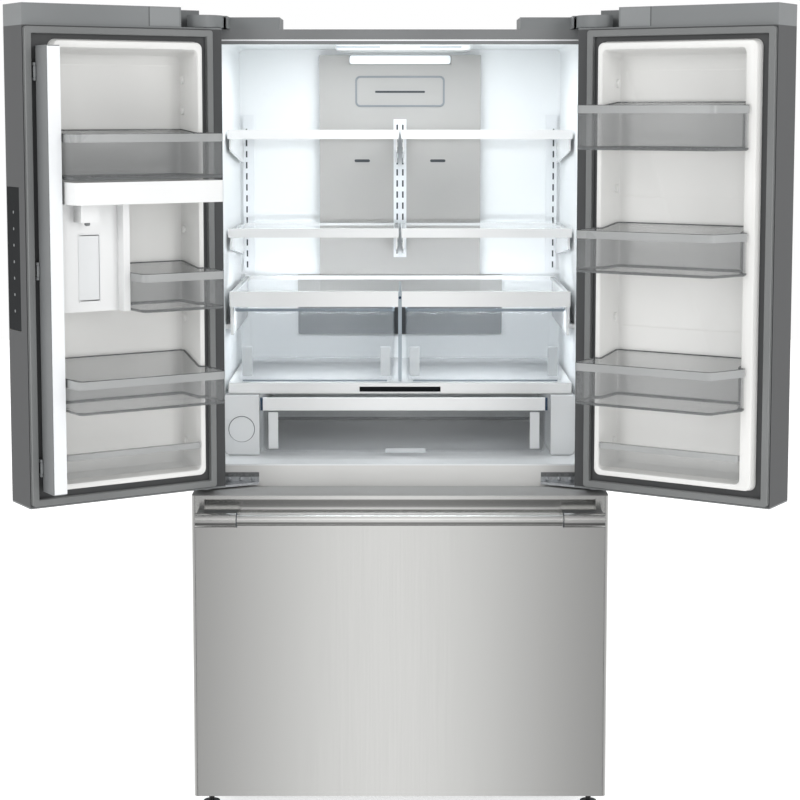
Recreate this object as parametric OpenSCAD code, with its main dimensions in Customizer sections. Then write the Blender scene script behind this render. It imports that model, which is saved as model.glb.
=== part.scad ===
// French door refrigerator with a bottom freezer drawer, both doors standing open.
// +X is to the viewer's right, +Y runs back into the cabinet, +Z is up.
// The origin is on the floor, midway between the sides, under the cabinet's front plane.

/* [Overall] */
// Width across both closed doors
body_w = 905; // [880:5:930]
// Height of the cabinet's top panel above the floor
cabinet_top = 1738; // [1725:1:1760]
// Depth of the cabinet behind its front plane
cabinet_d = 700; // [690:5:740]
// Height of the cabinet's underside above the floor
base_z = 50; // [45:1:55]
// Thickness of the insulation beside the compartments
wall_t = 49; // [45:1:55]

/* [Doors] */
// Thickness of each door and of the drawer front
door_t = 110; // [105:1:114]
// Gap between the cabinet and the doors, filled by the gaskets
door_gap = 12; // [11:1:13]
// Gap between the two doors
centre_gap = 5; // [4:1:8]
// Height of the doors' lower edge
door_low = 745; // [743:1:747]
// Height of the crown that hides the top hinges
crown_top = 1778; // [1774:1:1790]
// Angle that the doors stand open
open_angle = 147.5; // [130:0.5:150]
// Distance of the hinge pins from the door's side
hinge_in = 24; // [22:1:26]
// Distance of the hinge pins in front of the cabinet
hinge_out = 64; // [62:1:68]
// Radius of the hinge pins
pin_r = 6; // [5:0.5:7]
// Radial clearance of a pin in its bushing
pin_clear = 0.05; // [0.02:0.01:0.08]
// Thickness of the door's outer sheet
skin_t = 1.2; // [1:0.1:1.6]

/* [Freezer drawer] */
// Lower edge of the drawer front
drawer_low = 60; // [58:1:64]
// Upper edge of the drawer front
drawer_high = 731; // [728:1:732]
// Radius of the scoop behind the drawer's handle
scoop_r = 38; // [34:1:42]

/* [Handles] */
// Radius of the handle tubes
tube_r = 12; // [10:0.5:13]
// Radius of the handle ends
end_r = 15.5; // [14:0.5:17]
// Length of each handle end
end_len = 88; // [70:1:100]
// Distance from the door's face to the middle of the tube
standoff = 60; // [50:1:65]
// Lowest point of the door handles
handle_low = 833; // [800:1:860]
// Highest point of the door handles
handle_high = 1650; // [1600:1:1690]

/* [Shelves] */
// Top of the two upper half shelves
upper_shelf = 1518; // [1490:1:1540]
// Top of the two lower half shelves
lower_shelf = 1292; // [1280:1:1310]
// Front of the shelves, behind the cabinet's front plane
shelf_y = 190; // [170:1:210]
// Top of the glass over the crispers
cover_top = 1152; // [1150:1:1158]
// Front of the crisper cover
cover_y = 130; // [125:1:140]

/* [Hidden] */
$fn = 48;
half_w = body_w / 2;
door_w = (body_w - centre_gap) / 2;
y_front = -(door_t + door_gap);
y_rear = -door_gap;
in_w = half_w - wall_t - 3.5;
liner_t = 3;
sheet_t = 1.5;
// fresh food compartment, inside faces
ff_low = 778;
ff_high = cabinet_top - 25;
ff_back = 600;
// freezer compartment, inside faces, with a step over the compressor
fz_low = 100;
fz_high = 700;
fz_back = 560;
step_y = 400;
step_z = 330;
// bay for the compressor
bay_y = 440;
bay_z = 300;
// heights of the door's parts
skin_low = door_low + 3;
skin_high = cabinet_top - 4.5;
plate_high = skin_high + 3;
crown_x = 95;
crown_wall = 7;
// door liner: rim, recess
rim_y = 10;
recess_y = -72;
rim_low = 781;
rim_high = 1705;
rim_hinge = 56;
rim_w = 13;
left_rim_free = 394;
right_rim_free = 417;
// gasket band
gasket_in = 26;
gasket_w = 14;
gasket_low = 751;
gasket_high = 1731;
// door bins
bin_y = 108;
bin_t = 2.5;
// mullion bar, folded against the left door's rim
bar_x = 396;
bar_t = 28;
bar_y = -8;
bar_w = 62;
bar_low = 781;
bar_high = 1692;
bar_pin_x = (door_w + centre_gap / 2 - bar_w / 2 - bar_y + bar_x + bar_t + 0.8) / 2;
bar_pin_y = bar_x + bar_t + 0.8 - bar_pin_x;
bar_pin_r = 2.2;
knuckle_z = [830, 1236, 1640];
// internal water dispenser on the left door
ledge_low = 1373;
ledge_high = 1418;
paddle_top = 1306;
// freezer drawer
handle_z = 690;
rail_z = 250;
basket_high = 405;
tray_low = 440;
tray_high = 585;
// water inlet at the back
inlet_x = -15;
inlet_z = 262;
// roller and fan axes
axle_z = 25;
axle_y = 640;
foot_x = 421;
foot_y = -52;
cond_fan = [-120, 580, 150];
evap_fan = [0, 532, 610];

// ---- shared shapes ----

// block between two corners
module block(x0, x1, y0, y1, z0, z1)
    translate([x0, y0, z0]) cube([x1 - x0, y1 - y0, z1 - z0]);

// outline with round corners
module round_rect(x0, x1, y0, y1, r) {
    translate([x0 + r, y0]) square([x1 - x0 - 2 * r, y1 - y0]);
    translate([x0, y0 + r]) square([x1 - x0, y1 - y0 - 2 * r]);
    for (x = [x0 + r, x1 - r], y = [y0 + r, y1 - r]) translate([x, y]) circle(r);
}

// an outline drawn in X and Z, carried from y0 to y1
module along_y(y0, y1)
    translate([0, y1, 0]) rotate([90, 0, 0]) linear_extrude(y1 - y0) children();

// an outline drawn in Y and Z, carried from x0 to x1
module along_x(x0, x1)
    translate([x0, 0, 0]) rotate([90, 0, 90]) linear_extrude(x1 - x0) children();

// the shape and its mirror image
module both_sides() {
    children();
    mirror([1, 0, 0]) children();
}

// a shape drawn on a closed door, with X counted from its hinge side, swung open
module swing_open()
    translate([-half_w + hinge_in, -hinge_out, 0]) rotate([0, 0, -open_angle])
        translate([-hinge_in, hinge_out, 0]) children();

module on_left_door() swing_open() children();
module on_right_door() mirror([1, 0, 0]) swing_open() children();

// open-topped tub of an even wall thickness
module tub(x0, x1, y0, y1, z0, z1, t) {
    difference() {
        block(x0, x1, y0, y1, z0, z1);
        block(x0 + t, x1 - t, y0 + t, y1 - t, z0 + t, z1 + 1);
    }
}

// ---- cabinet ----

module cabinet_wrapper() color("#77797a") {
    difference() {
        block(-half_w, half_w, 0, cabinet_d, base_z, cabinet_top);
        block(-half_w + sheet_t, half_w - sheet_t, sheet_t, cabinet_d + 1, base_z - 1,
              cabinet_top - sheet_t);
        block(-in_w - liner_t, in_w + liner_t, -1, sheet_t + 1, fz_low - liner_t, ff_high + liner_t);
    }
}

module back_panel() color("#b9bcbd") {
    x = half_w - sheet_t;
    block(-x, x, cabinet_d - 1, cabinet_d, bay_z, cabinet_top - sheet_t);
    difference() {
        block(-x, x, cabinet_d - 3, cabinet_d, base_z + 12, bay_z - 0.5);
        for (row = [0:3], col = [-9:9])
            block(col * 40 - 12, col * 40 + 12, cabinet_d - 4, cabinet_d + 1,
                  base_z + 50 + row * 45, base_z + 58 + row * 45);
        translate([inlet_x, cabinet_d - 4, inlet_z]) rotate([-90, 0, 0]) cylinder(h = 6, r = 6);
    }
}

// floor of the cabinet with its drip tray, foot brackets and roller ears
module base_pan() color("#a9acad") {
    x = half_w - sheet_t;
    difference() {
        block(-x, x, sheet_t, cabinet_d - 3.5, base_z, base_z + 3);
        both_sides() block(372.5, 417.5, axle_y - 30, axle_y + 30, base_z - 1, base_z + 4);
    }
    tub(-90, 120, 470, 690, base_z + 2, base_z + 22, 2);
    both_sides() {
        block(foot_x - 24, foot_x + 22, foot_y - 20, 30, base_z - 4, base_z);
        for (ear = [371, 419])
            difference() {
                union() {
                    block(ear - 1.5, ear + 1.5, axle_y - 12, axle_y + 12, axle_z, base_z);
                    translate([ear - 1.5, axle_y, axle_z]) rotate([0, 90, 0]) cylinder(h = 3, r = 12);
                }
                translate([ear - 3, axle_y, axle_z]) rotate([0, 90, 0]) cylinder(h = 6, r = 4.06);
            }
    }
}

module liner_space(grow)
    along_y(-1, ff_back + grow)
        round_rect(-in_w - grow, in_w + grow, ff_low - grow, ff_high + grow, 14 + grow);

module freezer_space(grow) {
    block(-in_w - grow, in_w + grow, -1, step_y + grow, fz_low - grow, fz_high + grow);
    block(-in_w - grow, in_w + grow, -1, fz_back + grow, step_z - grow, fz_high + grow);
}

module cabinet_foam() color("#e6dfb8") difference() {
    block(-half_w + sheet_t, half_w - sheet_t, sheet_t, cabinet_d - 1, base_z + 3,
          cabinet_top - sheet_t);
    liner_space(liner_t);
    freezer_space(liner_t);
    block(-in_w - liner_t, in_w + liner_t, 0, 14, fz_high, ff_low);
    block(-half_w, half_w, bay_y, cabinet_d, base_z, bay_z);
}

module fresh_food_liner() color("#eef2f4") difference() {
    intersection() {
        liner_space(liner_t);
        block(-half_w, half_w, 0, cabinet_d, 0, cabinet_top);
    }
    liner_space(0);
}

module freezer_liner() color("#f1f3f4") difference() {
    intersection() {
        freezer_space(liner_t);
        block(-half_w, half_w, 0, cabinet_d, 0, cabinet_top);
    }
    freezer_space(0);
}

// white face of the wall between the two compartments
module divider_cover() color("#e7e7e6")
    block(-in_w - liner_t, in_w + liner_t, 0, 14, fz_high + liner_t, ff_low - liner_t);

// ---- fresh food compartment ----

module air_tower() color("#c3c2c0") difference() {
    union() {
        block(-200, 200, 575, ff_back, 1154, 1699);
        block(-256, 256, 585, ff_back, 1002, 1153);
    }
    block(-127, 127, 560, 584, 1675, 1700);
    for (x = [-94, 94]) block(x - 8.5, x + 8.5, 560, 590, 1436, 1441);
    for (x = [-130, 130]) block(x - 9, x + 9, 580, 588, 1010, 1120);
}

// slotted uprights that carry the shelf hooks
module upright(x0, x1, y0, y1, z0, z1, columns) difference() {
    block(x0, x1, y0, y1, z0, z1);
    for (x = columns, z = [z0 + 18 : 27.6 : z1 - 18])
        block(x - 2, x + 2, y0 - 1, y1 + 1, z - 8, z + 8);
}

module shelf_standards() color("#e9ebec") {
    upright(-16, 16, 571, 574.8, 1198, 1541, [-7, 7]);
    both_sides() upright(364, 392, 592, 596, 1160, 1552, [383]);
    both_sides() block(364, 392, 596, ff_back, 1160, 1552);
}

// half shelf frame: front trim, side rails, rear bar and two hooked brackets
module half_shelf(top) {
    x0 = 3;
    x1 = in_w - 5;
    block(x0, x1, shelf_y, shelf_y + 14, top - 21, top);
    block(x0, x1, 552, 566, top - 14, top - 8);
    for (x = [x0, x1 - 10]) block(x, x + 10, shelf_y + 14, 566, top - 14, top - 8);
    for (x = [x0 + 3, x1 - 7])
        along_x(x, x + 4)
            polygon([[shelf_y + 14, top - 14], [shelf_y + 14, top - 47], [shelf_y + 24, top - 50],
                     [540, top - 84], [566, top - 84], [566, top - 14]]);
}

module shelf_frames() color("#e3e5e6")
    for (top = [upper_shelf, lower_shelf]) both_sides() half_shelf(top);

module pane(x0, x1, y0, y1, z) block(x0, x1, y0, y1, z - 4, z);

module glass_panes() color("#cfe3e6", 0.45) {
    for (top = [upper_shelf, lower_shelf])
        both_sides() pane(3.5, in_w - 5.5, shelf_y + 14, 566, top - 4);
    pane(-384, 384, cover_y + 16, 570, cover_top);
}

// frame over the crispers, with their hanging rails
module crisper_cover() color("#e8eaeb") {
    block(-388, -4, cover_y, cover_y + 16, cover_top - 35, cover_top);
    block(4, 388, cover_y, cover_y + 16, cover_top - 35, cover_top);
    both_sides() {
        block(376, 388, cover_y + 16, 584, cover_top - 10, cover_top - 4);
        block(381, 388, cover_y + 20, 584, 1050, cover_top - 10);
        block(381, in_w, cover_y + 30, 584, 1064, 1074);
    }
    block(-388, 388, 570, 584, cover_top - 10, cover_top);
}

module crisper_divider() color("#9aa4ab") {
    block(-4, 4, cover_y + 2, cover_y + 15.5, 946, cover_top - 1);
    block(-3, 3, cover_y + 15.5, 568, 946, cover_top - 14);
}

// clear bin with a lower front wall
module crisper() {
    difference() {
        tub(13, 376, 137, 545, 942.5, 1112, 3);
        block(35, 354, 136, 141, 1077, 1113);
    }
    for (x = [22, 338]) block(x, x + 23, 141, 147, 957, 1024);
}

module crisper_right() color("#dfe8eb", 0.5) crisper();
module crisper_left() color("#dfe8eb", 0.5) mirror([1, 0, 0]) crisper();

// white shelf between the crispers and the wide drawer
module deli_cover() color("#eceeee") difference() {
    block(-392, 392, cover_y, 596, 918, 942);
    block(-93, 93, cover_y - 1, cover_y + 3, 922, 934);
    block(-380, 380, cover_y + 14, 582, 917, 936);
}

module control_display() color("#33393e")
    block(-92.5, 92.5, cover_y + 0.6, cover_y + 3, 922.5, 933.5);

module deli_drawer() color("#dfe6e8", 0.6) {
    tub(-314, 332, 112, 560, 785, 884, 3);
    block(-318, 336, 106, 112, 884, 912);
    block(-318, 336, 106, 111.5, 878, 884);
    block(-38, 62, 102, 112, 785, 796);
    for (x = [-300, 296]) block(x, x + 22, 115, 121, 795, 872);
}

module water_filter() color("#e2e4e5") {
    translate([-361, 106, 839]) rotate([-90, 0, 0]) cylinder(h = 12, r = 28.5);
    translate([-361, 118, 839]) rotate([-90, 0, 0]) cylinder(h = 300, r = 25);
}

// filter housing at the left of the wide drawer and the filler box at its right
module drawer_housings() color("#e9eaea") intersection() {
    liner_space(-1);
    difference() {
        union() {
            block(-in_w, -321, 110, 560, 780, 916);
            block(344, in_w, 110, 560, 780, 916);
        }
        translate([-361, 109, 839]) rotate([-90, 0, 0]) cylinder(h = 330, r = 30);
        block(347, in_w - 7, 130, 561, 786, 913);
    }
}

// ---- hinges ----

// flat arm from a base to a round eye over the hinge pin
module hinge_arm(x0, x1, y0, y1, eye_r) {
    ax = -half_w + hinge_in;
    translate([x0, y0]) square([x1 - x0, y1 - y0]);
    polygon([[ax - eye_r, -hinge_out], [ax + eye_r, -hinge_out], [x1, y0], [x0, y0]]);
    translate([ax, -hinge_out]) circle(eye_r);
}

module top_hinges() color("#b4b6b8") both_sides() {
    translate([0, 0, cabinet_top]) linear_extrude(5) {
        hinge_arm(-420, -376, 12, 120, 14.5);
        translate([-440, 30]) square([140, 90]);
    }
    translate([-half_w + hinge_in, -hinge_out, skin_high - 36])
        cylinder(h = cabinet_top - skin_high + 37, r = pin_r);
    for (x = [-425, -315], y = [60, 105])
        translate([x, y, cabinet_top + 5]) cylinder(h = 6, r = 7, $fn = 6);
}

// plan of a hinge cover: a box on the cabinet, a neck and a round nose inside the crown's swing
module cover_outline(inset) {
    translate([-447 + inset, inset]) square([185 - 2 * inset, 135 - 2 * inset]);
    translate([-433 + inset, -hinge_out]) square([62 - 2 * inset, hinge_out + 10]);
    intersection() {
        translate([-half_w + hinge_in, -hinge_out]) circle(hinge_out - 14 - inset);
        translate([-half_w + 0.5 + inset, -140]) square([200, 140]);
    }
}

module hinge_covers() color("#5f6264") both_sides() difference() {
    translate([0, 0, cabinet_top]) linear_extrude(26) cover_outline(0);
    translate([0, 0, cabinet_top - 1]) linear_extrude(24.5) cover_outline(2.5);
}

module centre_hinges() color("#c3c5c7") both_sides() {
    block(-394, -314, -3, 0, 735, 750);
    for (x = [-380, -354, -328])
        translate([x, -3, 745]) rotate([90, 0, 0]) cylinder(h = 2.4, r1 = 4.6, r2 = 3.2);
    translate([0, 0, 735]) linear_extrude(5) hinge_arm(-394, -314, -12, 0, 15);
    translate([-half_w + hinge_in, -hinge_out, 738]) cylinder(h = 36, r = pin_r);
}

// ---- feet and the parts underneath and behind ----

module front_feet() color("#1d1e1f") both_sides() translate([foot_x, foot_y, 0]) {
    cylinder(h = 26, r = 18.5);
    translate([0, 0, 26]) cylinder(h = base_z - 30, r = 6);
}

module rear_rollers() color("#d8d8d4") both_sides() translate([0, axle_y, axle_z])
    rotate([0, 90, 0]) {
        translate([0, 0, 375]) cylinder(h = 40, r = axle_z);
        translate([0, 0, 368]) cylinder(h = 54, r = 4);
    }

module compressor() color("#232527") {
    translate([250, 580, 0]) {
        translate([0, 0, 90]) rotate_extrude()
            polygon(concat([[0, 0], [50, 0]], [for (a = [-90:15:0]) [50 + 24 * cos(a), 24 + 24 * sin(a)]],
                [[74, 100]], [for (a = [15:15:90]) [74 * cos(a) , 100 + 46 * sin(a)]]));
        difference() {
            block(-95, 95, -60, 60, base_z + 13, base_z + 17);
            for (x = [-82, 82], y = [-47, 47]) translate([x, y, base_z + 12]) cylinder(h = 6, r = 8);
        }
        for (x = [-82, 82], y = [-47, 47]) translate([x, y, base_z + 3]) cylinder(h = 20, r = 8);
        translate([0, 0, base_z + 17]) cylinder(h = 26, r = 40);
    }
}

// finned coil with three through tubes
module finned_coil(x0, x1, y0, y1, z0, z1, pitch) {
    for (x = [x0 : pitch : x1]) block(x, x + 1.2, y0, y1, z0, z1);
    for (z = [z0 + 0.25 * (z1 - z0), z0 + 0.75 * (z1 - z0)], y = [y0 + 0.3 * (y1 - y0), y0 + 0.7 * (y1 - y0)])
        translate([x0 - 12, y, z]) rotate([0, 90, 0]) cylinder(h = x1 - x0 + 24, r = 4);
}

module condenser() color("#3a3c3e") {
    finned_coil(-400, -230, 520, 640, base_z + 12, 220, 10);
    for (x = [-400, -232]) block(x, x + 3.2, 520, 640, base_z + 3, base_z + 12);
}

module evaporator() color("#c9cccd") finned_coil(-280, 280, 520, 552, 345, 500, 20);

module evaporator_cover() color("#eef0f1") difference() {
    block(-in_w + 2, in_w - 2, 506, 509, step_z + 2, fz_high - 2);
    for (x = [-300 : 60 : 300], z = [550, 660]) block(x - 20, x + 20, 505, 510, z, z + 6);
}

// hub with slanted blades, its axis along Z
module fan(r, thick) {
    difference() {
        union() {
            cylinder(h = thick, r = 14);
            for (a = [0 : 72 : 288])
                rotate([0, 0, a]) translate([10, 0, thick / 2]) rotate([30, 0, 0])
                    translate([0, -12, -1]) cube([r - 11, 24, 2]);
        }
        translate([0, 0, -1]) cylinder(h = thick * 0.75, r = 3.05);
    }
}

module fan_motor(shaft) {
    cylinder(h = 30, r = 22);
    translate([0, 0, 30]) cylinder(h = shaft, r = 3);
}

module fan_motors() color("#4a4d50") {
    translate([cond_fan[0] - 34, cond_fan[1], cond_fan[2]]) rotate([0, 90, 0]) fan_motor(11);
    block(cond_fan[0] - 34, cond_fan[0] - 28, cond_fan[1] - 20, cond_fan[1] + 20, base_z + 3,
          cond_fan[2] - 15);
    translate([evap_fan[0], evap_fan[1] + 28, evap_fan[2]]) rotate([90, 0, 0]) fan_motor(8);
}

module condenser_fan() color("#e0e2e3")
    translate([cond_fan[0] - 2, cond_fan[1], cond_fan[2]]) rotate([0, 90, 0]) fan(68, 22);

module evaporator_fan() color("#e0e2e3")
    translate([evap_fan[0], evap_fan[1] - 4, evap_fan[2]]) rotate([90, 0, 0]) fan(58, 13);

module water_valve() color("#e1e3e4") {
    block(inlet_x - 25, inlet_x + 25, cabinet_d - 46, cabinet_d - 3, 238, 288);
    translate([inlet_x, cabinet_d - 3, inlet_z]) rotate([-90, 0, 0]) cylinder(h = 22, r = 3.175);
}

module freezer_slides() color("#b7babc") both_sides() {
    block(in_w - 12, in_w, 8, step_y - 6, rail_z, rail_z + 34);
    block(in_w - 12, in_w, 30, 500, tray_high - 60, tray_high - 42);
}

// ---- doors ----

module door_outline(inset) {
    r = 12 - inset;
    x1 = door_w - inset;
    y0 = y_front + inset;
    translate([inset, y0 + r]) square([x1 - inset, y_rear - inset - y0 - r]);
    translate([inset + r, y0]) square([x1 - inset - 2 * r, r + 1]);
    for (x = [inset + r, x1 - r]) translate([x, y0 + r]) circle(r);
}

module door_skin(rim_free) difference() {
    translate([0, 0, skin_low]) linear_extrude(skin_high - skin_low) door_outline(0);
    translate([0, 0, skin_low - 1]) linear_extrude(skin_high - skin_low + 2) door_outline(skin_t);
    along_y(y_rear - 5, y_rear + 5)
        round_rect(rim_hinge - 1, rim_free + 1, rim_low - 1, rim_high + 1, 15);
}

// lower cap with its bushing, and the crowned upper cap with the other one
module door_caps() {
    difference() {
        union() {
            translate([0, 0, door_low]) linear_extrude(skin_low - door_low) door_outline(0);
            translate([hinge_in, -hinge_out, door_low]) cylinder(h = 38, r = 12);
        }
        translate([hinge_in, -hinge_out, door_low - 1]) cylinder(h = 36, r = pin_r + pin_clear);
    }
    difference() {
        union() {
            translate([0, 0, skin_high]) linear_extrude(plate_high - skin_high) door_outline(0);
            translate([hinge_in, -hinge_out, skin_high - 40]) cylinder(h = 41, r = 12);
            translate([0, 0, plate_high]) linear_extrude(crown_top - plate_high) intersection() {
                door_outline(0);
                union() {
                    translate([crown_x, y_front]) square([door_w, door_t]);
                    translate([0, y_front]) square([door_w, crown_wall]);
                }
            }
        }
        translate([hinge_in, -hinge_out, skin_high - 38]) cylinder(h = 60, r = pin_r + pin_clear);
    }
}

module door_foam(rim_free) difference() {
    translate([0, 0, skin_low]) linear_extrude(skin_high - skin_low) door_outline(skin_t);
    along_y(y_rear - 4, y_rear) round_rect(rim_hinge - 10, rim_free + 10, rim_low - 10, rim_high + 10, 15);
    along_y(recess_y - liner_t, y_rear)
        round_rect(rim_hinge + rim_w - liner_t, rim_free - rim_w + liner_t + 2,
                   rim_low + rim_w - liner_t, rim_high - 17 + liner_t, 15);
    translate([hinge_in, -hinge_out, door_low]) cylinder(h = 40, r = 12.5);
    translate([hinge_in, -hinge_out, skin_high - 41]) cylinder(h = 45, r = 12.5);
}

// vacuum-formed inner panel: hidden flange, raised rim and deep recess
module door_liner(rim_free, rim_free_w, bosses) {
    x0 = rim_hinge + rim_w;
    x1 = rim_free - rim_free_w;
    z0 = rim_low + rim_w;
    z1 = rim_high - 17;
    difference() {
        union() {
            along_y(y_rear - 4, y_rear - skin_t)
                round_rect(rim_hinge - 10, rim_free + 10, rim_low - 10, rim_high + 10, 15);
            along_y(y_rear - 4, rim_y) round_rect(rim_hinge, rim_free, rim_low, rim_high, 14);
            along_y(recess_y - liner_t, y_rear)
                round_rect(x0 - liner_t, x1 + liner_t, z0 - liner_t, z1 + liner_t, 15);
        }
        along_y(recess_y, rim_y + 1) round_rect(x0, x1, z0, z1, 12);
    }
    for (z = bosses)
        translate([x0 - 0.5, -60, z]) rotate([0, 90, 0]) cylinder(h = 8, r = 6);
}

module gasket_ring(x0, x1, z0, z1, w)
    along_y(y_rear, -0.6) difference() {
        round_rect(x0, x1, z0, z1, 8);
        round_rect(x0 + w, x1 - w, z0 + w, z1 - w, 4);
    }

module door_gasket() color("#7a7c7c")
    gasket_ring(gasket_in, door_w - 2, gasket_low, gasket_high, gasket_w);

// storage bin: a part in the recess, a wider part over the rim, and a lower front
module door_bin(x0, x1, x2, front_x, low, high, back_high) {
    floor_z = low + bin_t;
    difference() {
        union() {
            bin_shell(x0, x1, x2, front_x, low, high);
            block(x0 + 15, x1, recess_y + 2, rim_y + 3, low, back_high);
        }
        translate([0, 0, floor_z - low]) bin_hollow(x0, x1, x2, front_x, low, back_high + 1);
    }
}

// outline of a bin's front part above the rim
module bin_outline(x0, x2, front_x, inset) {
    y0 = rim_y + 0.6 + inset;
    y1 = bin_y - inset;
    r = 10 - inset;
    polygon([[x0 + inset, y0], [x2 - inset, y0], [front_x - inset, y1 - r], [front_x - inset - r, y1],
             [x0 + inset + r, y1], [x0 + inset, y1 - r]]);
    translate([x0 + inset + r, y1 - r]) circle(r);
    translate([front_x - inset - r, y1 - r]) circle(r);
}

module bin_shell(x0, x1, x2, front_x, low, high)
    translate([0, 0, low]) linear_extrude(high - low) bin_outline(x0, x2, front_x, 0);

module bin_hollow(x0, x1, x2, front_x, low, high)
    translate([0, 0, low]) linear_extrude(high - low) {
        bin_outline(x0, x2, front_x, bin_t);
        translate([x0 + 15 + bin_t, recess_y + 2 + bin_t])
            square([x1 - x0 - 15 - 2 * bin_t, rim_y - recess_y + 3]);
    }

// low guard across the foot of a door
module retainer(x1) {
    difference() {
        block(rim_hinge + rim_w + 1, x1, 0, 12, 803, 853);
        block(rim_hinge + rim_w + 4, x1 - 3, -1, 9.5, 802, 850);
    }
}

module left_door_bins() color("#c9cbcc", 0.5) on_left_door() {
    door_bin(rim_hinge + 1, 380, 392, 389, 1423, 1515, 1522);
    door_bin(rim_hinge + 1, 240, 247, 246, 1150, 1229, 1240);
    door_bin(rim_hinge + 1, 380, 392, 389, 949, 1018, 1046);
    retainer(380);
}

module right_door_bins() color("#c9cbcc", 0.5) on_right_door() {
    door_bin(rim_hinge + 1, 387, 401, 366, 1481, 1573, 1580);
    door_bin(rim_hinge + 1, 387, 401, 366, 1226, 1314, 1323);
    door_bin(rim_hinge + 1, 387, 401, 366, 948, 1036, 1047);
    retainer(387);
}

module door_post() translate([406, y_front - standoff, 0]) children();

// bar handle: tube, two ends and a mount behind each end
module door_handle() color("#c9cacb") {
    door_post() {
        translate([0, 0, handle_low + end_len]) cylinder(h = handle_high - handle_low - 2 * end_len, r = tube_r);
        for (z = [handle_low, handle_high - end_len]) {
            translate([0, 0, z]) cylinder(h = end_len, r = end_r);
            block(-10, 10, 0, standoff, z, z + end_len);
        }
    }
}

module left_door_skin() color("#a8aaab") on_left_door() difference() {
    door_skin(left_rim_free);
    block(door_w - 3, door_w + 1, -109, -43, 1110, 1406);
}
module left_door_caps() color("#7c7f80") on_left_door() door_caps();
module left_door_foam() color("#e6dfb8") on_left_door() difference() {
    door_foam(left_rim_free);
    block(door_w - 6, door_w + 1, -109, -43, 1110, 1406);
}
module left_door_liner() color("#e4e4e2") on_left_door()
    door_liner(left_rim_free, 11, [848, 1118, 1308, 1561, 1626]);
module left_door_gasket() on_left_door() door_gasket();
module left_door_handle() on_left_door() door_handle();
module right_door_skin() color("#a8aaab") on_right_door() door_skin(right_rim_free);
module right_door_caps() color("#7c7f80") on_right_door() door_caps();
module right_door_foam() color("#e6dfb8") on_right_door() door_foam(right_rim_free);
module right_door_liner() color("#e4e4e2") on_right_door()
    door_liner(right_rim_free, 27, [848, 1119, 1395, 1619]);
module right_door_gasket() on_right_door() door_gasket();
module right_door_handle() on_right_door() door_handle();

// dark touch panel let into the left door's free side
module control_panel() color("#2c2e30") on_left_door()
    block(door_w - 5.5, door_w - 0.4, -108.5, -43.5, 1110.5, 1405.5);

// shelf over the dispenser, its housing and the nozzle block
module dispenser_unit() color("#ecebe9") on_left_door() {
    difference() {
        union() {
            translate([0, 0, ledge_low]) linear_extrude(ledge_high - ledge_low)
                bin_outline(rim_hinge + 1, 392, 389, 0);
            block(rim_hinge + rim_w + 1, 382, recess_y + 1, rim_y + 3, ledge_low + 10, ledge_high);
        }
        translate([0, 0, ledge_low - 1]) linear_extrude(ledge_high - ledge_low - 4)
            bin_outline(rim_hinge + 1, 392, 389, 4);
    }
    difference() {
        union() {
            block(262, 382, recess_y + 1, 20, 1150, ledge_low + 10);
            block(248, 262, recess_y + 1, 50, 1150, ledge_low + 10);
            block(318, 358, 20, 58, 1335, ledge_low + 10);
        }
        block(301, 349, -6, 21, 1170, paddle_top + 4);
        translate([338, 42, 1334]) cylinder(h = 20, r = 6);
    }
}

// push plate that works the dispenser
module dispenser_paddle() color("#e6e6e4") on_left_door()
    difference() {
        union() {
            block(303, 347, 14, 19, 1174, paddle_top);
            translate([303, 14, paddle_top - 3]) rotate([0, 90, 0]) cylinder(h = 44, r = 3);
        }
        block(309, 341, 12, 14.5, 1190, 1290);
    }

module mullion_hinges() color("#b9bbbc") on_left_door()
    for (z = knuckle_z) {
        for (dz = [-18, 12]) {
            block(bar_pin_x - 2.75, bar_pin_x + 4, y_rear, bar_pin_y, z + dz, z + dz + 6);
            translate([bar_pin_x, bar_pin_y, z + dz]) cylinder(h = 6, r = 2.75);
        }
        translate([bar_pin_x, bar_pin_y, z - 18]) cylinder(h = 36, r = bar_pin_r);
    }

// flip bar between the doors: body and the three knuckles that carry it
module mullion_bar() color("#dcdddc") on_left_door() difference() {
    union() {
        translate([0, 0, bar_low]) linear_extrude(bar_high - bar_low)
            round_rect(bar_x, bar_x + bar_t, bar_y, bar_y + bar_w, 3);
        for (z = knuckle_z) {
            translate([bar_pin_x, bar_pin_y, z - 11]) cylinder(h = 22, r = 3.7);
            block(bar_x + bar_t - 1, bar_pin_x, bar_pin_y - 1, bar_pin_y + 2.6, z - 11, z + 11);
        }
    }
    for (z = knuckle_z)
        translate([bar_pin_x, bar_pin_y, z - 12]) cylinder(h = 24, r = bar_pin_r + pin_clear);
}

// ---- freezer drawer ----

module drawer_outline(inset) {
    r = 8 - inset;
    x = half_w - inset;
    y0 = y_front + inset;
    translate([-x, y0 + r]) square([2 * x, y_rear - inset - y0 - r]);
    translate([-x + r, y0]) square([2 * x - 2 * r, r + 1]);
    for (side = [-1, 1]) translate([side * (x - r), y0 + r]) circle(r);
}

module scoop(grow)
    translate([0, y_front - scoop_r + 10, handle_z + 7]) rotate([0, 90, 0])
        cylinder(h = 850 + 2 * grow, r = scoop_r + grow, center = true);

module drawer_solid(inset) difference() {
    translate([0, 0, drawer_low + inset]) linear_extrude(drawer_high - drawer_low - 2 * inset)
        drawer_outline(inset);
    scoop(inset);
}

module drawer_skin() color("#b4b6b7") difference() {
    drawer_solid(0);
    drawer_solid(skin_t);
    along_y(y_rear - 5, y_rear + 5) round_rect(-391, 391, 109, 691, 15);
}

module drawer_foam() color("#e6dfb8") difference() {
    drawer_solid(skin_t);
    along_y(y_rear - 4, y_rear) round_rect(-397, 397, 103, 697, 15);
}

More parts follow.
